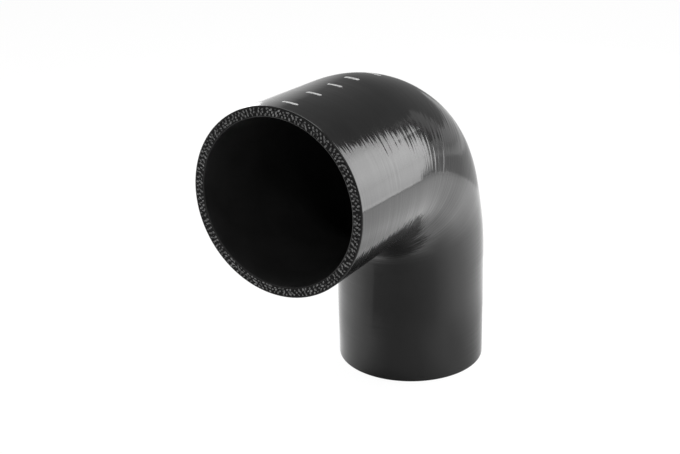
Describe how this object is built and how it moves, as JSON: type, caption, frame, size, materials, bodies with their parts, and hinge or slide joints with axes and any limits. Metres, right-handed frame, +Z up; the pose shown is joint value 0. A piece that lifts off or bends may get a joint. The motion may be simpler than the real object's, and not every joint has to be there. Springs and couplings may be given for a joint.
{
  "type": "silicone elbow hose",
  "caption": "Moulded right-angle silicone reducer hose with two plain open ends, for joining an intake pipe to a slightly narrower one.",
  "frame": {"origin": "on the floor, in the middle of the hose's footprint as it stands on its narrow end", "axes": "+Z up along the narrow leg, -Y out of the wide mouth, X across the hose's plane of symmetry"},
  "size_m": [0.086, 0.165, 0.168],
  "materials": {
    "black_silicone": "satin"
  },
  "bodies": {
    "root": {"elbow_hose": "black_silicone"}
  },
  "joints": []
}
